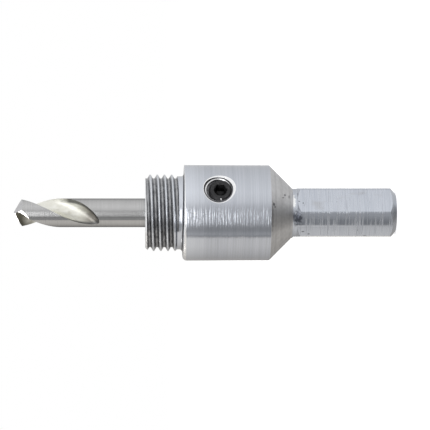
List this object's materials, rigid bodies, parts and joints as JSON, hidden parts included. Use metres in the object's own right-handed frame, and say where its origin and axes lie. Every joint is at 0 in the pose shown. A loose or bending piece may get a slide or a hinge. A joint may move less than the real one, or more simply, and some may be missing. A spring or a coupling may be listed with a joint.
{
  "type": "hole saw arbor",
  "caption": "Hole saw arbor with a threaded spigot, hexagonal shank and round body that holds a pilot drill with a set screw.",
  "frame": {"origin": "centre of the shank's end face, on the arbor's axis", "axes": "+Z along the axis from the shank's end to the drill's point; the set screw looks along -Y, square to one flat of the hexagon"},
  "size_m": [0.02, 0.02, 0.0798],
  "materials": {
    "turned_steel": "bright turned steel with fine circumferential tool lines and milled flats",
    "ground_steel": "ground high speed steel, flutes brighter and slightly yellow",
    "black_oxide_steel": "black oxide, lightly oiled"
  },
  "bodies": {
    "arbor": {"arbor_body": "turned_steel"},
    "pilot_drill": {"pilot_drill": "ground_steel"},
    "set_screw": {"set_screw": "black_oxide_steel"}
  },
  "joints": [
    {"name": "drill_depth_slide", "type": "slide", "parent": "arbor", "child": "pilot_drill", "axis": [0, 0, 1], "range_m": [0, 0.01]},
    {"name": "set_screw_travel", "type": "slide", "parent": "arbor", "child": "set_screw", "axis": [0, -1, 0], "range_m": [0, 0.0032]}
  ]
}
